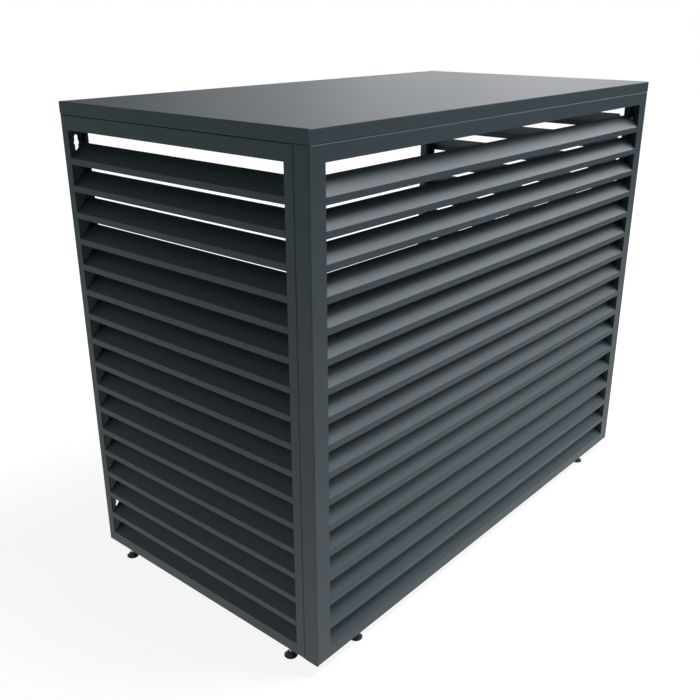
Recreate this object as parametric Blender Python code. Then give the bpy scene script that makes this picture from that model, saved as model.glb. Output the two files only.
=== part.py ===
"""Louvred sheet-metal screen that stands over an outdoor air conditioner unit.

Three folded panels with louvre slats stand on levelling feet and carry a folded lid.
The back is open: the side panels' back flanges hang on a wall by their keyholes.

The origin is on the ground under the middle of the screen. +X runs along the front from
the left panel to the right one, the front panel faces -Y, and +Z is up. Lengths are in
metres and angles in radians.
"""

import math

import bmesh
import bpy
from mathutils import Matrix, Vector

# Overall sizes
screen_width = 1.150
screen_depth = 0.613
screen_height = 0.920
ground_clearance = 0.025

# Sheet metal
sheet = 0.0015
bend_inner_radius = 0.0002
relief = 0.0010
corner_tab = 0.0010
seat_gap = 0.0003
bend_steps = 3

# Panels
stile_width = 0.034
top_rail_height = 0.0265
bottom_rail_height = 0.023
corner_return = 0.031
side_front_strip = 0.019
side_back_strip = 0.019
joint_flange = 0.022
front_bottom_flange = 0.027
front_top_flange = 0.025
side_bottom_flange = 0.024
side_top_flange = 0.024
back_flange = 0.042
back_return = 0.0175

# Louvre slats
blade_rows = 17
lip_height = 0.0114
blade_length = 0.0372
blade_angle = math.radians(45)

# Lid
lid_skirt = 0.023
lid_return = 0.022

# Keyholes in the back flanges
keyhole_inset = 0.0262
keyhole_drop = 0.0526
keyhole_rise = 0.074
keyhole_slot_width = 0.0075
keyhole_slot_length = 0.0293
keyhole_circle_diameter = 0.0108
keyhole_arc_steps = 8

# Bolt holes and weld nuts
thread_diameter = 0.006
hex_across_flats = 0.010
nut_height = 0.005
weld_sink = 0.0003
joint_bolt_inset = 0.011
joint_bolt_end_distance = 0.060
joint_bolt_count = 4
lid_bolt_inset = 0.013
front_lid_bolt_reach = 0.400
side_lid_bolt_reach = 0.170

# Levelling feet
pad_diameter = 0.025
pad_edge_height = 0.0015
pad_height = 0.006
pad_collar_diameter = 0.009
pad_edge_chamfer = 0.0006
stud_length = 0.036
stud_chamfer = 0.0007
side_foot_inset = 0.0125
front_foot_inset = 0.0188
front_foot_end_distance = 0.126
side_foot_front_distance = 0.078
side_foot_back_distance = 0.060
foot_sides = 24
pad_dome_steps = 5

# Shared clearances
cut_overrun = 0.004
hole_sides = 16

# Sizes that follow from those above
fold_radius = bend_inner_radius + sheet
half_width = screen_width / 2
half_depth = screen_depth / 2
frame_height = screen_height - lid_skirt
window_top = frame_height - top_rail_height
blade_bend_run = fold_radius * math.tan(blade_angle / 2)
quarter_turn = math.radians(90)
hole_radius = thread_diameter / 2 + seat_gap
seam_y = -half_depth + corner_return + seat_gap
front_window = half_width - stile_width
side_window_front = -half_depth + corner_return + side_front_strip
side_window_back = half_depth - side_back_strip
slat_pitch = (window_top - bottom_rail_height) / blade_rows

LEFT = -1
RIGHT = 1
X_AXIS = Vector((1, 0, 0))
Y_AXIS = Vector((0, 1, 0))
Z_AXIS = Vector((0, 0, 1))


def clear_scene():
    for old in list(bpy.data.objects):
        bpy.data.objects.remove(old, do_unlink=True)


def surface(name, colour, roughness, metallic):
    material = bpy.data.materials.new(name)
    material.use_nodes = True
    shader = material.node_tree.nodes["Principled BSDF"]
    shader.inputs["Base Color"].default_value = (*colour, 1)
    shader.inputs["Roughness"].default_value = roughness
    shader.inputs["Metallic"].default_value = metallic
    return material


def frame_paint():
    return surface("anthracite_frame_paint", (0.039, 0.048, 0.054), 0.50, 0.0)


def slat_paint():
    return surface("anthracite_slat_paint", (0.039, 0.048, 0.054), 0.50, 0.0)


def lid_paint():
    return surface("anthracite_lid_paint", (0.042, 0.051, 0.057), 0.45, 0.0)


def foot_plastic():
    return surface("black_foot_plastic", (0.012, 0.012, 0.012), 0.45, 0.0)


def mesh_from(bm, name, material):
    mesh = bpy.data.meshes.new(name)
    bm.to_mesh(mesh)
    bm.free()
    mesh.materials.append(material)
    return mesh


def place(name, mesh, parent, location=(0, 0, 0), turn=0):
    thing = bpy.data.objects.new(name, mesh)
    bpy.context.scene.collection.objects.link(thing)
    thing.parent = parent
    thing.location = location
    thing.rotation_euler = (0, 0, turn)
    return thing


def thicken(thing):
    """Give a folded surface its sheet thickness, inwards from the outer face."""
    solidify = thing.modifiers.new("sheet", "SOLIDIFY")
    solidify.thickness = sheet
    solidify.offset = -1
    solidify.use_even_offset = True


def combine(thing, tool, operation):
    """Cut holes in a finished sheet, or weld blocks onto it, with a hidden object."""
    tool.display_type = "WIRE"
    tool.hide_render = True
    boolean = thing.modifiers.new(tool.name, "BOOLEAN")
    boolean.operation = operation
    boolean.solver = "EXACT"
    boolean.object = tool


def orient(bm, outward):
    """Make a surface's faces agree and face the way its largest face should."""
    bmesh.ops.recalc_face_normals(bm, faces=bm.faces[:])
    largest = max(bm.faces, key=lambda face: face.calc_area())
    if largest.normal.dot(outward) < 0:
        bmesh.ops.reverse_faces(bm, faces=bm.faces[:])


def border_edges(bm, axis, value, along, low, high):
    """Open edges that lie at one value of an axis, between two places along another."""
    found = []
    for edge in bm.edges:
        ends = [vert.co[axis] for vert in edge.verts]
        middle = (edge.verts[0].co[along] + edge.verts[1].co[along]) / 2
        level = max(abs(end - value) for end in ends) < relief / 10
        if edge.is_boundary and level and low < middle < high:
            found.append(edge)
    return found


def fold(bm, edges, direction, normal, angle, run):
    """Bend a sheet away from its outward normal, then let it run on straight.

    Returns the new free edges with the direction and outward normal that they now have.
    """
    axis = direction.cross(-normal)
    centre = edges[0].verts[0].co - normal * fold_radius
    spun = bmesh.ops.spin(
        bm, geom=edges, cent=centre, axis=axis, angle=angle, steps=bend_steps, use_duplicate=False
    )
    bent = [part for part in spun["geom_last"] if isinstance(part, bmesh.types.BMEdge)]
    turn = Matrix.Rotation(angle, 3, axis)
    direction = turn @ direction
    normal = turn @ normal
    extruded = bmesh.ops.extrude_edge_only(bm, edges=bent)["geom"]
    tips = [part for part in extruded if isinstance(part, bmesh.types.BMVert)]
    bmesh.ops.translate(bm, vec=direction * run, verts=tips)
    ends = [edge for edge in bm.edges if edge.verts[0] in tips and edge.verts[1] in tips]
    return ends, direction, normal


def panel_face(low, high, window_low, window_high, point):
    """Flat face of a panel between the folds at its upright edges, with its window.

    The top and bottom edges stop short beside the corners, so that their flanges fold
    clear of the upright folds. Places across the panel and up it become points by point().
    """
    tab_low = low + corner_tab
    tab_high = high - corner_tab
    across = [low, tab_low, tab_low + relief, window_low, window_low + relief]
    across += [window_high - relief, window_high, tab_high - relief, tab_high, high]
    blade_line = bottom_rail_height - blade_bend_run
    up = [0, fold_radius, blade_line, window_top, frame_height - fold_radius, frame_height]

    def is_open(u, v):
        in_window = window_low < u < window_high and blade_line < v < window_top
        at_edge = v < fold_radius or v > frame_height - fold_radius
        return in_window or (at_edge and tab_low < u < tab_high)

    bm = bmesh.new()
    rows = [[bm.verts.new(point(u, v)) for u in across] for v in up]
    for j in range(len(up) - 1):
        for i in range(len(across) - 1):
            if is_open((across[i] + across[i + 1]) / 2, (up[j] + up[j + 1]) / 2):
                continue
            bm.faces.new((rows[j][i], rows[j][i + 1], rows[j + 1][i + 1], rows[j + 1][i]))
    bmesh.ops.delete(bm, geom=[vert for vert in bm.verts if not vert.link_faces], context="VERTS")
    return bm


def fold_rails(bm, low, high, window_low, window_high, along, outward, top_depth, bottom_depth):
    """Fold a panel's top and bottom flanges inwards and its lowest blade up from its rail."""
    flange_low = low + corner_tab + relief
    flange_high = high - corner_tab - relief
    top_line = frame_height - fold_radius
    top = border_edges(bm, 2, top_line, along, flange_low, flange_high)
    bottom = border_edges(bm, 2, fold_radius, along, flange_low, flange_high)
    blade_line = bottom_rail_height - blade_bend_run
    blade = border_edges(bm, 2, blade_line, along, window_low + relief, window_high - relief)
    fold(bm, top, Z_AXIS, outward, quarter_turn, top_depth - fold_radius)
    fold(bm, bottom, -Z_AXIS, outward, quarter_turn, bottom_depth - fold_radius)
    fold(bm, blade, Z_AXIS, outward, blade_angle, blade_length - blade_bend_run)


def front_frame_surface():
    """Front panel: face, corner returns and the joint flanges behind them."""
    edge = half_width - fold_radius
    bm = panel_face(-edge, edge, -front_window, front_window, lambda u, v: (u, -half_depth, v))
    fold_rails(
        bm, -edge, edge, -front_window, front_window, 0, -Y_AXIS, front_top_flange, front_bottom_flange
    )
    for side in (LEFT, RIGHT):
        upright = border_edges(bm, 0, side * edge, 2, 0, frame_height)
        run = corner_return - 2 * fold_radius
        upright, direction, normal = fold(bm, upright, side * X_AXIS, -Y_AXIS, quarter_turn, run)
        fold(bm, upright, direction, normal, quarter_turn, joint_flange - fold_radius)
    orient(bm, -Y_AXIS)
    return bm


def side_frame_surface(side):
    """Side panel: face, front joint flange, and the back flange with its return."""
    front = seam_y + fold_radius
    back = half_depth - fold_radius
    left = LEFT * X_AXIS
    bm = panel_face(
        front, back, side_window_front, side_window_back, lambda u, v: (-half_width, u, v)
    )
    fold_rails(
        bm, front, back, side_window_front, side_window_back, 1, left, side_top_flange, side_bottom_flange
    )
    seam = border_edges(bm, 1, front, 2, 0, frame_height)
    fold(bm, seam, -Y_AXIS, left, quarter_turn, joint_flange - fold_radius)
    rear = border_edges(bm, 1, back, 2, 0, frame_height)
    run = back_flange - 2 * fold_radius
    rear, direction, normal = fold(bm, rear, Y_AXIS, left, quarter_turn, run)
    fold(bm, rear, direction, normal, quarter_turn, back_return - fold_radius)
    if side == RIGHT:
        bmesh.ops.scale(bm, vec=(-1, 1, 1), verts=bm.verts[:])
    orient(bm, side * X_AXIS)
    return bm


def slat_surface(length):
    """Slat that faces -Y: an upright lip whose top edge folds back into the blade."""
    bm = bmesh.new()
    ends = [bm.verts.new((side * length / 2, 0, -lip_height)) for side in (LEFT, RIGHT)]
    bottom = bm.edges.new(ends)
    lip = bmesh.ops.extrude_edge_only(bm, edges=[bottom])["geom"]
    tips = [part for part in lip if isinstance(part, bmesh.types.BMVert)]
    bmesh.ops.translate(bm, vec=Z_AXIS * (lip_height - blade_bend_run), verts=tips)
    crest = border_edges(bm, 2, -blade_bend_run, 0, -length / 2, length / 2)
    fold(bm, crest, Z_AXIS, -Y_AXIS, blade_angle, blade_length - blade_bend_run)
    orient(bm, Vector((0, -math.cos(blade_angle), math.sin(blade_angle))))
    return bm


def lid_surface():
    """Pan with its skirts down and a return folded in all round, corners welded."""
    skirt_bottom = frame_height + seat_gap
    height = screen_height - skirt_bottom
    bm = bmesh.new()
    bmesh.ops.create_cube(bm, size=1)
    bmesh.ops.scale(bm, vec=(screen_width, screen_depth, height), verts=bm.verts[:])
    bmesh.ops.translate(bm, vec=Z_AXIS * (skirt_bottom + height / 2), verts=bm.verts[:])
    floor = [face for face in bm.faces if face.normal.z < -0.5]
    level = [edge for edge in bm.edges if abs(edge.verts[0].co.z - edge.verts[1].co.z) < relief]
    bmesh.ops.inset_region(bm, faces=floor, thickness=lid_return, use_even_offset=True)
    bmesh.ops.delete(bm, geom=floor, context="FACES")
    bmesh.ops.bevel(
        bm, geom=level, offset=fold_radius, segments=bend_steps, profile=0.5, affect="EDGES"
    )
    return bm


def pointing(position, direction):
    """Matrix that takes local +Z to a direction at a position."""
    turn = Z_AXIS.rotation_difference(direction).to_matrix().to_4x4()
    return Matrix.Translation(position) @ turn


def joint_bolt_heights():
    step = (frame_height - 2 * joint_bolt_end_distance) / (joint_bolt_count - 1)
    return [joint_bolt_end_distance + step * index for index in range(joint_bolt_count)]


def joint_bolt_places():
    """Where bolts go forward through the joint flanges: point on the rear flange, direction."""
    face = seam_y + sheet + seat_gap
    across = half_width - joint_bolt_inset
    return [
        (Vector((side * across, face, height)), -Y_AXIS)
        for side in (LEFT, RIGHT)
        for height in joint_bolt_heights()
    ]


def lid_bolt_places():
    """Where bolts go up through the top flanges into the lid's return."""
    under = frame_height - sheet - seat_gap
    front = -half_depth + lid_bolt_inset
    beside = half_width - lid_bolt_inset
    places = [(x, front) for x in (-front_lid_bolt_reach, 0, front_lid_bolt_reach)]
    for side in (LEFT, RIGHT):
        places += [(side * beside, y) for y in (-side_lid_bolt_reach, side_lid_bolt_reach)]
    return [(Vector((x, y, under)), Z_AXIS) for x, y in places]


def foot_places():
    """Plan place of each foot by name: two under each panel."""
    front_x = half_width - front_foot_end_distance
    front_y = -half_depth + front_foot_inset
    side_x = half_width - side_foot_inset
    near_y = -half_depth + side_foot_front_distance
    far_y = half_depth - side_foot_back_distance
    return {
        "foot_front_left": (-front_x, front_y),
        "foot_front_right": (front_x, front_y),
        "foot_left_front": (-side_x, near_y),
        "foot_left_back": (-side_x, far_y),
        "foot_right_front": (side_x, near_y),
        "foot_right_back": (side_x, far_y),
    }


def turned_solid(profile, sides):
    """Turn an outline of (radius, height) points, from axis to axis, about +Z."""
    bm = bmesh.new()
    verts = [bm.verts.new((radius, 0, height)) for radius, height in profile]
    edges = [bm.edges.new(pair) for pair in zip(verts, verts[1:])]
    bmesh.ops.spin(
        bm,
        geom=edges,
        cent=Vector(),
        axis=Z_AXIS,
        angle=2 * math.pi,
        steps=sides,
        use_merge=True,
        use_duplicate=False,
    )
    bmesh.ops.remove_doubles(bm, verts=bm.verts[:], dist=seat_gap / 10)
    bmesh.ops.recalc_face_normals(bm, faces=bm.faces[:])
    return bm


def foot_solid():
    """Domed round pad with a threaded stud standing in it; the origin is under the pad."""
    rim = pad_diameter / 2
    collar = pad_collar_diameter / 2
    stud = thread_diameter / 2
    tip = pad_height + stud_length
    profile = [(0, 0), (rim - pad_edge_chamfer, 0), (rim, pad_edge_chamfer), (rim, pad_edge_height)]
    for step in range(1, pad_dome_steps + 1):
        angle = quarter_turn * step / pad_dome_steps
        radius = collar + (rim - collar) * math.cos(angle)
        profile.append((radius, pad_edge_height + (pad_height - pad_edge_height) * math.sin(angle)))
    profile += [(stud, pad_height), (stud, tip - stud_chamfer), (stud - stud_chamfer, tip), (0, tip)]
    return turned_solid(profile, foot_sides)


def weld_nuts(places):
    """Hexagon blocks that stand on the bottom flanges and are drilled with them."""
    bm = bmesh.new()
    height = nut_height + weld_sink
    for position, direction in places:
        middle = position + direction * (sheet - weld_sink + height / 2)
        corner = hex_across_flats / 2 / math.cos(math.pi / 6)
        bmesh.ops.create_cone(
            bm,
            cap_ends=True,
            segments=6,
            radius1=corner,
            radius2=corner,
            depth=height,
            matrix=pointing(middle, direction),
        )
    return bm


def drills(places):
    """Round cutters, one through each place."""
    bm = bmesh.new()
    length = 2 * (sheet + nut_height + cut_overrun)
    for position, direction in places:
        bmesh.ops.create_cone(
            bm,
            cap_ends=True,
            segments=hole_sides,
            radius1=hole_radius,
            radius2=hole_radius,
            depth=length,
            matrix=pointing(position, direction),
        )
    return bm


def keyhole_outline():
    """Slot with round ends and a wider circle at its middle, as (across, up) points."""
    slot = keyhole_slot_width / 2
    head = keyhole_circle_diameter / 2
    reach = keyhole_slot_length / 2 - slot
    neck = math.asin(slot / head)
    points = []
    for half in (0, math.pi):
        for step in range(keyhole_arc_steps + 1):
            angle = half + math.pi * step / keyhole_arc_steps
            offset = reach if half == 0 else -reach
            points.append((slot * math.cos(angle), offset + slot * math.sin(angle)))
        for step in range(keyhole_arc_steps + 1):
            sweep = math.pi - 2 * neck
            angle = half + quarter_turn + neck + sweep * step / keyhole_arc_steps
            points.append((head * math.cos(angle), head * math.sin(angle)))
    return points


def keyhole_cutters(side):
    """Keyhole shapes that run through a side panel's back flange."""
    bm = bmesh.new()
    x = side * (half_width - keyhole_inset)
    near = half_depth - sheet - cut_overrun
    far = half_depth + cut_overrun
    for z in (keyhole_rise, frame_height - keyhole_drop):
        face = bm.faces.new([bm.verts.new((x + u, near, z + v)) for u, v in keyhole_outline()])
        grown = bmesh.ops.extrude_face_region(bm, geom=[face])["geom"]
        moved = [part for part in grown if isinstance(part, bmesh.types.BMVert)]
        bmesh.ops.translate(bm, vec=Y_AXIS * (far - near), verts=moved)
    bmesh.ops.recalc_face_normals(bm, faces=bm.faces[:])
    return bm


def foot_holes(names):
    return [(Vector((*foot_places()[name], 0)), Z_AXIS) for name in names]


def finish_frame(name, bm, holes, feet, parent, paint):
    """Panel frame of sheet with weld nuts over its feet, drilled for bolts and studs."""
    frame = place(name, mesh_from(bm, name, paint), parent)
    thicken(frame)
    nuts = place(name + "_nuts", mesh_from(weld_nuts(feet), name + "_nuts", paint), parent)
    combine(frame, nuts, "UNION")
    drilled = mesh_from(drills(holes + feet), name + "_drills", paint)
    combine(frame, place(name + "_drills", drilled, parent), "DIFFERENCE")
    return frame


def make_frames(parent, paint):
    """The three panel frames. The side frames also have keyholes in their back flanges."""
    bolts = joint_bolt_places() + lid_bolt_places()
    holes = joint_bolt_places()
    holes += [item for item in lid_bolt_places() if abs(item[0].x) < front_window]
    feet = foot_holes(["foot_front_left", "foot_front_right"])
    finish_frame("front_frame", front_frame_surface(), holes, feet, parent, paint)
    for name, side in (("left", LEFT), ("right", RIGHT)):
        holes = [item for item in bolts if item[0].x * side > front_window]
        feet = foot_holes(["foot_" + name + "_front", "foot_" + name + "_back"])
        frame = finish_frame(name + "_frame", side_frame_surface(side), holes, feet, parent, paint)
        keys = mesh_from(keyhole_cutters(side), name + "_keys", paint)
        combine(frame, place(name + "_keys", keys, parent), "DIFFERENCE")


def make_slats(parent, paint):
    """A row of slats in each panel's window, one node each, from the bottom up."""
    front_length = 2 * (front_window - seat_gap)
    side_length = side_window_back - side_window_front - 2 * seat_gap
    middle = (side_window_back + side_window_front) / 2
    front_mesh = mesh_from(slat_surface(front_length), "front_slat", paint)
    side_mesh = mesh_from(slat_surface(side_length), "side_slat", paint)
    rows = [
        ("front", front_mesh, (0, -half_depth), 0),
        ("left", side_mesh, (-half_width, middle), -quarter_turn),
        ("right", side_mesh, (half_width, middle), quarter_turn),
    ]
    for name, mesh, (x, y), turn in rows:
        for number in range(1, blade_rows):
            height = bottom_rail_height + slat_pitch * number
            thicken(place(f"{name}_slat_{number:02d}", mesh, parent, (x, y, height), turn))


def make_lid(parent, paint):
    lid = place("lid", mesh_from(lid_surface(), "lid", paint), parent)
    thicken(lid)
    drilled = mesh_from(drills(lid_bolt_places()), "lid_drills", paint)
    combine(lid, place("lid_drills", drilled, parent), "DIFFERENCE")


def make_feet(parent, plastic):
    """Six feet: the origin of each lies on the line that it screws up and down along."""
    mesh = mesh_from(foot_solid(), "foot", plastic)
    mesh.shade_smooth()
    mesh.set_sharp_from_angle(angle=math.radians(40))
    for name, (x, y) in foot_places().items():
        place(name, mesh, parent, (x, y, -ground_clearance))


def main():
    clear_scene()
    screen = place("screen", None, None, (0, 0, ground_clearance))
    make_frames(screen, frame_paint())
    make_slats(screen, slat_paint())
    make_lid(screen, lid_paint())
    make_feet(screen, foot_plastic())


main()
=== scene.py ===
"""Looks for a louvred steel screen that stands over an outdoor air conditioner unit."""

import math

import bmesh
import bpy
from mathutils import Matrix, Vector


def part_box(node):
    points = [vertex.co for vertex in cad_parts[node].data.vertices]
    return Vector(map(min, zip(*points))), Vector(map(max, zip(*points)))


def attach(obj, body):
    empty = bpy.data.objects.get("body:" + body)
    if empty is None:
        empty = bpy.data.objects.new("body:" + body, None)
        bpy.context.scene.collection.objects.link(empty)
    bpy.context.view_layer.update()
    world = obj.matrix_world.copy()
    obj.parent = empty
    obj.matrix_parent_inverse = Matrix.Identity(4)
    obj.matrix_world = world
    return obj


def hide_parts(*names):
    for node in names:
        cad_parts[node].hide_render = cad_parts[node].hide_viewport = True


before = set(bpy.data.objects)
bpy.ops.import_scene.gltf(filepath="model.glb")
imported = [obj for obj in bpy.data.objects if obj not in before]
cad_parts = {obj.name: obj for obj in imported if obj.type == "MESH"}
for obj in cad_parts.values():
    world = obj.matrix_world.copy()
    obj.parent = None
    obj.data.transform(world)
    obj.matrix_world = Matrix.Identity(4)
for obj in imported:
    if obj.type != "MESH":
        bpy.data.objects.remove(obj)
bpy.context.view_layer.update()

MM = 0.001
MERGE_DISTANCE = 0.001 * MM
SMOOTH_ANGLE = math.radians(35)

# Camera at the photograph's place
CAMERA_PLACE = (-1.44446, -1.12273, 1.09080)
CAMERA_TURN = (math.radians(68.5282), math.radians(-0.0136), math.radians(-49.5117))
CAMERA_LENS = 43.9887
CAMERA_SENSOR = 36.0
CAMERA_CLIP = 0.05

# Colours of paint, plastic, metal, backdrop, and floor as paint mirrors it
ANTHRACITE = "#1D2D33"
BLACK_NYLON = "#1B1C1D"
ZINC = "#E0E3E5"
STUDIO_WHITE = "#FFFFFF"
MIRRORED_FLOOR = "#F7FDFF"

# Powder coat. A face is skyward where its normal's Z is above the slope. Waves and flecks in mm.
COAT_IOR = 1.5
COAT_SHADES = (0.96, 1.04)
SHELTERED_ROUGHNESS = 0.45
SKYWARD_ROUGHNESS = 0.53
SKYWARD_SLOPE = 0.9
ROUGHNESS_SPREAD = 0.02
PEEL_WAVE = 5.0
PEEL_DEPTH = 0.03
PEEL_STRENGTH = 0.5
COAT_FLECK = 3.0

# Nylon of the pads, with flow marks and the grain of its mould in mm
NYLON_IOR = 1.53
NYLON_SHADES = (0.85, 1.15)
NYLON_ROUGHNESS = (0.34, 0.46)
FLOW_MARK = 9.0
SPARK_GRAIN = 0.5
SPARK_DEPTH = 0.05
SPARK_STRENGTH = 0.25

# Zinc plating, with clouds in mm
ZINC_SHADES = (0.88, 1.0)
ZINC_ROUGHNESS = (0.34, 0.46)
ZINC_CLOUD = 2.5

# The part of a noise's range that holds nearly all of its values
NOISE_LOW = 0.3
NOISE_HIGH = 0.7

# Softboxes round the screen: degrees round from +X, degrees up, and brightness in red, green and
# blue (white paper is 1). Most are a little cool. The strongest, high up, is a little warm.
SOFTBOXES = (
    (120, 6, (0.29, 0.38, 0.39)),
    (150, 6, (0.35, 0.53, 0.54)),
    (15, 25, (1.69, 1.59, 1.58)),
    (30, 25, (1.51, 1.46, 1.46)),
    (45, 25, (0.84, 0.77, 0.77)),
    (150, 25, (0.34, 0.43, 0.43)),
    (320, 25, (1.12, 1.34, 1.43)),
    (345, 25, (1.80, 1.90, 1.97)),
    (345, 38, (3.70, 3.59, 3.58)),
    (210, 45, (1.18, 1.44, 1.38)),
    (240, 45, (0.28, 0.38, 0.39)),
    (300, 45, (0.57, 0.90, 1.03)),
    (330, 45, (0.29, 0.47, 0.54)),
    (300, 68, (24.7, 23.4, 23.1)),
)
SOFTBOX_DISTANCE = 4.0
SOFTBOX_DIAMETER = 2.0
SOFTBOX_AIM = Vector((0, 0, 0.45))

# Floor: the glow that the eye sees near the screen and far off, and how much of a shadow it takes
FLOOR_SIZE = 60.0
FLOOR_ALBEDO = 0.80
FLOOR_GLOW = 0.88
FLOOR_SHADOW = 0.15
FLOOR_NEAR = 1.2
FLOOR_FAR = 3.5
MIRRORED_REACH = 8.0
# Distance from the middle of the screen in metres, and the floor's brightness in reflections there
MIRRORED_GLOW = ((0.6, 0.95), (1.1, 0.68), (2.6, 0.66), (4.5, 0.38), (6.5, 0.0))
# The backdrop's brightness in reflections
MIRRORED_BACKDROP = 0.2

# Levelling foot: its pad's outline from the axis under it to the socket that holds the stud, mm
PAD_OUTLINE = (
    (0, 0.7), (7.9, 0.7), (8.5, 0), (12.0, 0), (12.5, 0.5), (12.5, 1.6), (12.2, 2.2), (11.4, 2.9),
    (10.0, 4.1), (8.5, 5.6), (7.2, 7.1), (6.2, 8.3), (5.4, 9.0), (4.5, 9.3), (3.4, 9.3), (3.1, 9.0),
    (0, 9.0),
)
PAD_SIDES = 48

# M6 thread, mm. Flank and crest are shares of the pitch. A rod is drawn with spare turns, some of
# them below its start, and cut to length.
THREAD_RADIUS = 3.0
THREAD_ROOT = 2.45
THREAD_PITCH = 1.0
THREAD_SIDES = 24
THREAD_FLANK = 0.42
THREAD_CREST = 0.12
THREAD_SPARE_TURNS = 2
THREAD_TURNS_BELOW = 1.3
STUD_BOTTOM = 8.3
STUD_TIP = 42.0

# M6 bolts, washers and nuts, mm
HEX_WIDTH = 10.0
HEX_CORNER = HEX_WIDTH / math.sqrt(3)
HEX_LAND = 0.55
HEX_DOME = 0.3
HEX_EASING = 0.35
END_FACE_SLOPE = 0.9
HEAD_HEIGHT = 4.0
BOLT_LENGTH = 12.0
WASHER_RADIUS = 6.2
WASHER_THICKNESS = 1.6
WASHER_EASING = 0.2
WASHER_SIDES = 40
NUT_HEIGHT = 5.0
SHEET = 1.5
SEAT_GAP = 0.3

# Where the bolts are: the joint flanges, and the top flanges that the lid is bolted to, mm
JOINT_BOLT_X = 564.0
JOINT_FLANGE_REAR = -273.7
JOINT_BOLT_Z = (85, 344, 603, 862)
TOP_FLANGE_UNDER = 920.5
FRONT_LID_BOLT_Y = -293.5
FRONT_LID_BOLT_X = (-400, 0, 400)
SIDE_LID_BOLT_X = 562.0
SIDE_LID_BOLT_Y = (-170, 170)


def linear(hex_colour):
    """An sRGB hex colour as the linear RGBA that a shader takes."""
    levels = [int(hex_colour[place:place + 2], 16) / 255 for place in (1, 3, 5)]
    rgb = [
        level / 12.92 if level <= 0.04045 else ((level + 0.055) / 1.055) ** 2.4 for level in levels
    ]
    return (*rgb, 1.0)


def grain(size_mm):
    """Texture scale whose pattern repeats about every size_mm on Object coordinates in metres."""
    return 1 / (size_mm * MM)


def add(tree, kind, settings, links):
    """Adds one node, with its settings and with its sockets set or linked."""
    made = tree.nodes.new(kind)
    for name, value in settings.items():
        setattr(made, name, value)
    for socket, value in links.items():
        if isinstance(value, bpy.types.NodeSocket):
            tree.links.new(value, made.inputs[socket])
        else:
            made.inputs[socket].default_value = value
    return made


def new_material(name):
    material = bpy.data.materials.new(name)
    material.use_nodes = True
    tree = material.node_tree
    tree.nodes.clear()
    return material, tree


def powder_coat(name):
    """Satin polyester powder coat on steel sheet, with the faint orange peel of powder that melted.

    The peel's waves are 2 to 3 mm long on a real coat. They are drawn 5 mm long, so that they show.
    A face that looks up at the sky is a little duller, because the sun and rain weather it first.
    """
    material, tree = new_material(name)
    place = add(tree, "ShaderNodeTexCoord", {}, {}).outputs["Object"]
    peel = add(tree, "ShaderNodeTexNoise", {}, {
        "Vector": place, "Scale": grain(PEEL_WAVE), "Detail": 1.0,
    })
    relief = add(tree, "ShaderNodeBump", {}, {
        "Height": peel.outputs["Fac"], "Strength": PEEL_STRENGTH, "Distance": PEEL_DEPTH * MM,
    })
    fleck = add(tree, "ShaderNodeTexNoise", {}, {
        "Vector": place, "Scale": grain(COAT_FLECK), "Detail": 3.0,
    })
    shade = add(tree, "ShaderNodeMapRange", {}, {
        "Value": fleck.outputs["Fac"], "From Min": NOISE_LOW, "From Max": NOISE_HIGH,
        "To Min": COAT_SHADES[0], "To Max": COAT_SHADES[1],
    })
    tint = add(tree, "ShaderNodeMix", {"data_type": "RGBA", "blend_type": "MULTIPLY"}, {
        "Factor": 1.0, "A": linear(ANTHRACITE), "B": shade.outputs["Result"],
    })
    facing = add(tree, "ShaderNodeSeparateXYZ", {}, {
        "Vector": add(tree, "ShaderNodeNewGeometry", {}, {}).outputs["True Normal"],
    })
    weathered = add(tree, "ShaderNodeMapRange", {}, {
        "Value": facing.outputs["Z"], "From Min": SKYWARD_SLOPE, "From Max": 1.0,
        "To Min": SHELTERED_ROUGHNESS, "To Max": SKYWARD_ROUGHNESS,
    })
    uneven = add(tree, "ShaderNodeMapRange", {}, {
        "Value": fleck.outputs["Fac"], "From Min": NOISE_LOW, "From Max": NOISE_HIGH,
        "To Min": -ROUGHNESS_SPREAD, "To Max": ROUGHNESS_SPREAD,
    })
    sheen = add(tree, "ShaderNodeMath", {"operation": "ADD"}, {
        0: weathered.outputs["Result"], 1: uneven.outputs["Result"],
    })
    shader = add(tree, "ShaderNodeBsdfPrincipled", {}, {
        "Base Color": tint.outputs["Result"], "Roughness": sheen.outputs["Value"],
        "Normal": relief.outputs["Normal"], "IOR": COAT_IOR,
    })
    add(tree, "ShaderNodeOutputMaterial", {}, {"Surface": shader.outputs["BSDF"]})
    return material


def dress(names, material):
    for name in names:
        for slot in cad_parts[name].material_slots:
            slot.material = material


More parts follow.
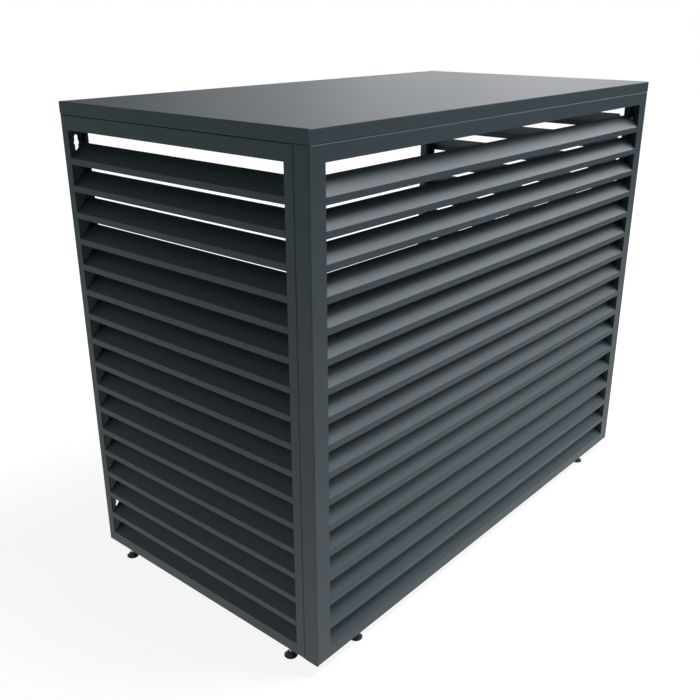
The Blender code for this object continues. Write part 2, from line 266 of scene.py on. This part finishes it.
def moulded_nylon():
    """Black injection-moulded nylon: matt, with the fine spark-eroded grain of its mould."""
    material, tree = new_material("moulded_black_nylon")
    place = add(tree, "ShaderNodeTexCoord", {}, {}).outputs["Object"]
    spark = add(tree, "ShaderNodeTexNoise", {}, {
        "Vector": place, "Scale": grain(SPARK_GRAIN), "Detail": 2.0,
    })
    flow = add(tree, "ShaderNodeTexNoise", {}, {
        "Vector": place, "Scale": grain(FLOW_MARK), "Detail": 1.0,
    })
    shade = add(tree, "ShaderNodeMapRange", {}, {
        "Value": flow.outputs["Fac"], "From Min": NOISE_LOW, "From Max": NOISE_HIGH,
        "To Min": NYLON_SHADES[0], "To Max": NYLON_SHADES[1],
    })
    tint = add(tree, "ShaderNodeMix", {"data_type": "RGBA", "blend_type": "MULTIPLY"}, {
        "Factor": 1.0, "A": linear(BLACK_NYLON), "B": shade.outputs["Result"],
    })
    sheen = add(tree, "ShaderNodeMapRange", {}, {
        "Value": spark.outputs["Fac"], "From Min": NOISE_LOW, "From Max": NOISE_HIGH,
        "To Min": NYLON_ROUGHNESS[0], "To Max": NYLON_ROUGHNESS[1],
    })
    relief = add(tree, "ShaderNodeBump", {}, {
        "Height": spark.outputs["Fac"], "Strength": SPARK_STRENGTH, "Distance": SPARK_DEPTH * MM,
    })
    shader = add(tree, "ShaderNodeBsdfPrincipled", {}, {
        "Base Color": tint.outputs["Result"], "Roughness": sheen.outputs["Result"],
        "Normal": relief.outputs["Normal"], "IOR": NYLON_IOR,
    })
    add(tree, "ShaderNodeOutputMaterial", {}, {"Surface": shader.outputs["BSDF"]})
    return material


def bright_zinc():
    """Bright zinc electroplated on steel: silvery, and a little cloudy where the bath left it."""
    material, tree = new_material("zinc_plated_steel")
    place = add(tree, "ShaderNodeTexCoord", {}, {}).outputs["Object"]
    cloud = add(tree, "ShaderNodeTexNoise", {}, {
        "Vector": place, "Scale": grain(ZINC_CLOUD), "Detail": 3.0,
    })
    shade = add(tree, "ShaderNodeMapRange", {}, {
        "Value": cloud.outputs["Fac"], "From Min": NOISE_LOW, "From Max": NOISE_HIGH,
        "To Min": ZINC_SHADES[0], "To Max": ZINC_SHADES[1],
    })
    tint = add(tree, "ShaderNodeMix", {"data_type": "RGBA", "blend_type": "MULTIPLY"}, {
        "Factor": 1.0, "A": linear(ZINC), "B": shade.outputs["Result"],
    })
    sheen = add(tree, "ShaderNodeMapRange", {}, {
        "Value": cloud.outputs["Fac"], "From Min": NOISE_LOW, "From Max": NOISE_HIGH,
        "To Min": ZINC_ROUGHNESS[0], "To Max": ZINC_ROUGHNESS[1],
    })
    shader = add(tree, "ShaderNodeBsdfPrincipled", {}, {
        "Base Color": tint.outputs["Result"], "Roughness": sheen.outputs["Result"], "Metallic": 1.0,
    })
    add(tree, "ShaderNodeOutputMaterial", {}, {"Surface": shader.outputs["BSDF"]})
    return material


def start(name, primitive, **where):
    """A new primitive, selected alone and open in edit mode."""
    bpy.ops.object.select_all(action="DESELECT")
    primitive(**where)
    piece = bpy.context.active_object
    piece.name = name
    piece.data.name = name
    bpy.ops.object.mode_set(mode="EDIT")
    return piece


def pick(piece, kind, wanted):
    """In edit mode, selects only the faces or edges that wanted() is true for."""
    bpy.ops.mesh.select_mode(type=kind)
    bpy.ops.mesh.select_all(action="DESELECT")
    mesh = bmesh.from_edit_mesh(piece.data)
    for item in mesh.faces if kind == "FACE" else mesh.edges:
        item.select_set(wanted(item))
    bmesh.update_edit_mesh(piece.data)


def close_up():
    """Leaves edit mode with doubles merged and every face pointing out."""
    bpy.ops.mesh.select_all(action="SELECT")
    bpy.ops.mesh.remove_doubles(threshold=MERGE_DISTANCE)
    bpy.ops.mesh.normals_make_consistent(inside=False)
    bpy.ops.object.mode_set(mode="OBJECT")
    bpy.ops.object.shade_smooth_by_angle(angle=SMOOTH_ANGLE)


def draw(name, outline):
    """Line through (radius, height) points in mm, drawn by extruding one vertex."""
    piece = start(name, bpy.ops.mesh.primitive_plane_add, size=MM)
    bpy.ops.mesh.select_mode(type="VERT")
    bpy.ops.mesh.select_all(action="SELECT")
    bpy.ops.mesh.merge(type="CENTER")
    at = Vector((outline[0][0], 0, outline[0][1])) * MM
    bpy.ops.transform.translate(value=at)
    for radius, height in outline[1:]:
        to = Vector((radius, 0, height)) * MM
        bpy.ops.mesh.extrude_region_move(TRANSFORM_OT_translate={"value": to - at})
        at = to
    return piece


def turned(name, outline, sides):
    """Round piece: an outline from the axis and back to it, spun about +Z."""
    piece = draw(name, outline)
    bpy.ops.mesh.select_all(action="SELECT")
    bpy.ops.mesh.spin(steps=sides, angle=2 * math.pi, center=(0, 0, 0), axis=(0, 0, 1))
    close_up()
    return piece


def ring(name, outline, sides):
    """Round piece with a hole: a closed outline spun about +Z."""
    return turned(name, (*outline, outline[0]), sides)


def apply_modifiers(piece):
    bpy.ops.object.select_all(action="DESELECT")
    piece.select_set(True)
    bpy.context.view_layer.objects.active = piece
    for modifier in list(piece.modifiers):
        bpy.ops.object.modifier_apply(modifier=modifier.name)


def cut_level(height, upper):
    """In edit mode, cuts everything off above or below a height in mm, and closes the cut."""
    bpy.ops.mesh.select_all(action="SELECT")
    bpy.ops.mesh.bisect(
        plane_co=(0, 0, height * MM), plane_no=(0, 0, 1), use_fill=True,
        clear_outer=upper, clear_inner=not upper, threshold=MERGE_DISTANCE,
    )


def threaded_rod(name, bottom, top):
    """M6 thread between two heights in mm: a tooth's outline screwed up the axis, then cut flat."""
    flank = THREAD_PITCH * THREAD_FLANK
    crest = THREAD_PITCH * THREAD_CREST
    turns = math.ceil((top - bottom) / THREAD_PITCH) + THREAD_SPARE_TURNS
    first = bottom - THREAD_TURNS_BELOW * THREAD_PITCH
    rod = draw(name, (
        (THREAD_ROOT, first), (THREAD_RADIUS, first + flank),
        (THREAD_RADIUS, first + flank + crest), (THREAD_ROOT, first + 2 * flank + crest),
        (THREAD_ROOT, first + THREAD_PITCH),
    ))
    bpy.ops.object.mode_set(mode="OBJECT")
    screw = rod.modifiers.new("thread", "SCREW")
    screw.screw_offset = THREAD_PITCH * MM
    screw.iterations = turns
    screw.steps = THREAD_SIDES
    screw.render_steps = THREAD_SIDES
    screw.use_merge_vertices = True
    screw.merge_threshold = MERGE_DISTANCE
    apply_modifiers(rod)
    bpy.ops.object.mode_set(mode="EDIT")
    cut_level(bottom, upper=False)
    cut_level(top, upper=True)
    close_up()
    return rod


def hexagon(name, height, ends):
    """Six-sided bolt head or nut on z = 0. The ends that it names, 1 up and -1 down, are domed."""
    block = start(
        name, bpy.ops.mesh.primitive_cylinder_add, vertices=6, radius=HEX_CORNER * MM,
        depth=height * MM, location=(0, 0, height * MM / 2),
    )
    for end in ends:
        pick(block, "FACE", lambda face: face.normal.z * end > END_FACE_SLOPE)
        bpy.ops.mesh.inset(thickness=HEX_LAND * MM)
        bpy.ops.transform.translate(value=(0, 0, end * HEX_DOME * MM))
    pick(block, "EDGE", lambda edge: abs(edge.verts[0].co.z - edge.verts[1].co.z) > height * MM / 2)
    bpy.ops.mesh.bevel(offset=HEX_EASING * MM, segments=2, affect="EDGES")
    close_up()
    return block


def place_copies(piece, material, body, matrices):
    """One copy of a piece at each place, each with its own mesh, riding on a body."""
    stem = piece.name
    piece.data.materials.clear()
    piece.data.materials.append(material)
    made = []
    for number, matrix in enumerate(matrices, 1):
        mesh = piece.data.copy()
        mesh.transform(matrix)
        copy = bpy.data.objects.new(f"{stem}_{number:02d}", mesh)
        mesh.name = copy.name
        bpy.context.scene.collection.objects.link(copy)
        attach(copy, body)
        made.append(copy)
    bpy.data.objects.remove(piece)
    return made


def make_camera():
    data = bpy.data.cameras.new("camera")
    data.lens = CAMERA_LENS
    data.sensor_width = CAMERA_SENSOR
    data.clip_start = CAMERA_CLIP
    camera = bpy.data.objects.new("camera", data)
    camera.location = CAMERA_PLACE
    camera.rotation_euler = CAMERA_TURN
    bpy.context.scene.collection.objects.link(camera)
    bpy.context.scene.camera = camera


def make_lamps():
    """Round softboxes that face the middle of the screen.

    A disk that looks as bright as white paper takes pi watts for each square metre.
    """
    area = math.pi * (SOFTBOX_DIAMETER / 2) ** 2
    for round_by, up_by, brightness in SOFTBOXES:
        name = f"softbox_{round_by}_{up_by}"
        turn = math.radians(round_by)
        rise = math.radians(up_by)
        flat = math.cos(rise)
        way = Vector((math.cos(turn) * flat, math.sin(turn) * flat, math.sin(rise)))
        data = bpy.data.lights.new(name, "AREA")
        data.shape = "DISK"
        data.size = SOFTBOX_DIAMETER
        peak = max(brightness)
        data.color = [level / peak for level in brightness]
        data.energy = peak * math.pi * area
        lamp = bpy.data.objects.new(name, data)
        lamp.location = SOFTBOX_AIM + way * SOFTBOX_DISTANCE
        lamp.rotation_euler = (-way).to_track_quat("-Z", "Y").to_euler()
        lamp.visible_camera = False
        bpy.context.scene.collection.objects.link(lamp)


def make_floor():
    """Pale studio floor: the camera sees it nearly white, with the screen's soft shadow kept.

    In the paint's reflections it fades with distance, as a sheet of paper lit in the middle does.
    """
    bpy.ops.object.select_all(action="DESELECT")
    bpy.ops.mesh.primitive_plane_add(size=FLOOR_SIZE)
    floor = bpy.context.active_object
    floor.name = "studio_floor"
    material, tree = new_material("white_studio_floor")
    place = add(tree, "ShaderNodeTexCoord", {}, {}).outputs["Object"]
    away = add(tree, "ShaderNodeVectorMath", {"operation": "LENGTH"}, {"Vector": place})
    path = add(tree, "ShaderNodeLightPath", {}, {})
    glow = add(tree, "ShaderNodeMapRange", {}, {
        "Value": away.outputs["Value"], "From Min": FLOOR_NEAR, "From Max": FLOOR_FAR,
        "To Min": FLOOR_GLOW, "To Max": 1.0,
    })
    reach = add(tree, "ShaderNodeMath", {"operation": "DIVIDE"}, {
        0: away.outputs["Value"], 1: MIRRORED_REACH,
    })
    mirrored = add(tree, "ShaderNodeValToRGB", {}, {"Fac": reach.outputs["Value"]})
    stops = mirrored.color_ramp.elements
    while len(stops) < len(MIRRORED_GLOW):
        stops.new(1.0)
    for stop, (distance, level) in zip(stops, MIRRORED_GLOW):
        stop.position = distance / MIRRORED_REACH
        stop.color = (level, level, level, 1)
    strength = add(tree, "ShaderNodeMix", {"data_type": "FLOAT"}, {
        "Factor": path.outputs["Is Glossy Ray"],
        "A": glow.outputs["Result"], "B": mirrored.outputs["Color"],
    })
    hue = add(tree, "ShaderNodeMix", {"data_type": "RGBA"}, {
        "Factor": path.outputs["Is Glossy Ray"],
        "A": linear(STUDIO_WHITE), "B": linear(MIRRORED_FLOOR),
    })
    white = add(tree, "ShaderNodeEmission", {}, {
        "Color": hue.outputs["Result"], "Strength": strength.outputs["Result"],
    })
    shaded = add(tree, "ShaderNodeBsdfDiffuse", {}, {
        "Color": (FLOOR_SHADOW, FLOOR_SHADOW, FLOOR_SHADOW, 1),
    })
    seen = add(tree, "ShaderNodeAddShader", {}, {
        0: white.outputs["Emission"], 1: shaded.outputs["BSDF"],
    })
    paper = add(tree, "ShaderNodeBsdfDiffuse", {}, {
        "Color": (FLOOR_ALBEDO, FLOOR_ALBEDO, FLOOR_ALBEDO, 1),
    })
    direct = add(tree, "ShaderNodeMath", {"operation": "MAXIMUM"}, {
        0: path.outputs["Is Camera Ray"], 1: path.outputs["Is Glossy Ray"],
    })
    direct = add(tree, "ShaderNodeMath", {"operation": "MAXIMUM"}, {
        0: direct.outputs["Value"], 1: path.outputs["Is Transmission Ray"],
    })
    both = add(tree, "ShaderNodeMixShader", {}, {
        "Fac": direct.outputs["Value"], 1: paper.outputs["BSDF"], 2: seen.outputs["Shader"],
    })
    add(tree, "ShaderNodeOutputMaterial", {}, {"Surface": both.outputs["Shader"]})
    floor.data.materials.append(material)


def make_world():
    """White backdrop to the eye. The softboxes and the floor do all the lighting."""
    world = bpy.data.worlds.new("studio")
    world.use_nodes = True
    tree = world.node_tree
    tree.nodes.clear()
    path = add(tree, "ShaderNodeLightPath", {}, {})
    direct = add(tree, "ShaderNodeMath", {"operation": "MAXIMUM"}, {
        0: path.outputs["Is Camera Ray"], 1: path.outputs["Is Transmission Ray"],
    })
    mirrored = add(tree, "ShaderNodeMath", {"operation": "MULTIPLY"}, {
        0: path.outputs["Is Glossy Ray"], 1: MIRRORED_BACKDROP,
    })
    strength = add(tree, "ShaderNodeMath", {"operation": "MAXIMUM"}, {
        0: direct.outputs["Value"], 1: mirrored.outputs["Value"],
    })
    backdrop = add(tree, "ShaderNodeBackground", {}, {
        "Color": linear(STUDIO_WHITE), "Strength": strength.outputs["Value"],
    })
    add(tree, "ShaderNodeOutputWorld", {}, {"Surface": backdrop.outputs["Background"]})
    bpy.context.scene.world = world


def finish():
    bpy.context.scene.view_settings.view_transform = "Standard"


def foot_names():
    return sorted(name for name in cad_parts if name.startswith("foot_"))


def make_feet():
    """Each foot is a moulded pad round the end of a threaded stud, which stands in its weld nut."""
    nylon = moulded_nylon()
    zinc = bright_zinc()
    pad = turned("foot_pad", PAD_OUTLINE, PAD_SIDES)
    stud = threaded_rod("foot_stud", STUD_BOTTOM, STUD_TIP)
    for name in foot_names():
        low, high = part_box(name)
        axis = Matrix.Translation(((low.x + high.x) / 2, (low.y + high.y) / 2, 0))
        for part, material, slot in ((pad, nylon, "foot_plastic"), (stud, zinc, None)):
            mesh = part.data.copy()
            mesh.transform(axis)
            mesh.materials.clear()
            mesh.materials.append(material)
            mesh.name = name + part.name.removeprefix("foot")
            piece = bpy.data.objects.new(mesh.name, mesh)
            bpy.context.scene.collection.objects.link(piece)
            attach(piece, name)
            if slot:
                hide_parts(name)
    for part in (pad, stud):
        bpy.data.objects.remove(part)


def pointing(place, direction):
    """Matrix that takes a piece's +Z to a direction and its origin to a place in mm."""
    turn = Vector((0, 0, 1)).rotation_difference(Vector(direction)).to_matrix().to_4x4()
    return Matrix.Translation(Vector(place) * MM) @ turn


def fastener_places():
    """Where bolts pass: a point on the face that the washer bears on, and the bolt's direction."""
    joints = []
    lid = [((x, FRONT_LID_BOLT_Y, TOP_FLANGE_UNDER), (0, 0, 1)) for x in FRONT_LID_BOLT_X]
    for side in (-1, 1):
        joints += [((side * JOINT_BOLT_X, JOINT_FLANGE_REAR, z), (0, -1, 0)) for z in JOINT_BOLT_Z]
        lid += [((side * SIDE_LID_BOLT_X, y, TOP_FLANGE_UNDER), (0, 0, 1)) for y in SIDE_LID_BOLT_Y]
    return joints, lid


def make_fasteners(coat):
    """M6 bolts with washers through the joint flanges and into the lid, and their weld nuts."""
    zinc = bpy.data.materials["zinc_plated_steel"]
    joints, lid = fastener_places()
    bolts = [pointing(*place) for place in joints + lid]
    head = hexagon("bolt_head", HEAD_HEIGHT, ends=(1,))
    head.data.transform(Matrix.Translation((0, 0, WASHER_THICKNESS * MM)))
    head.data.transform(Matrix.Rotation(math.pi, 4, "X"))
    place_copies(head, zinc, "screen", bolts)
    shank = threaded_rod("bolt_shank", -WASHER_THICKNESS, BOLT_LENGTH - WASHER_THICKNESS)
    place_copies(shank, zinc, "screen", bolts)
    inner = THREAD_RADIUS + SEAT_GAP
    washer = ring("washer", (
        (inner, -WASHER_THICKNESS), (WASHER_RADIUS - WASHER_EASING, -WASHER_THICKNESS),
        (WASHER_RADIUS, WASHER_EASING - WASHER_THICKNESS), (WASHER_RADIUS, -WASHER_EASING),
        (WASHER_RADIUS - WASHER_EASING, 0), (inner, 0),
    ), WASHER_SIDES)
    place_copies(washer, zinc, "screen", bolts)
    nut = hexagon("weld_nut", NUT_HEIGHT, ends=(-1, 1))
    nut.data.transform(Matrix.Translation((0, 0, (2 * SHEET + SEAT_GAP) * MM)))
    for copy in place_copies(nut, coat, "screen", bolts):
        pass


panels = [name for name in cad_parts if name.endswith("_frame")]
slats = [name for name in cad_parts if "_slat_" in name]
frame_coat = powder_coat("powder_coated_frame")
dress(panels, frame_coat)
dress(slats, powder_coat("powder_coated_slat"))
dress(["lid"], powder_coat("powder_coated_lid"))
make_feet()
make_fasteners(frame_coat)
make_camera()
make_lamps()
make_floor()
make_world()
finish()
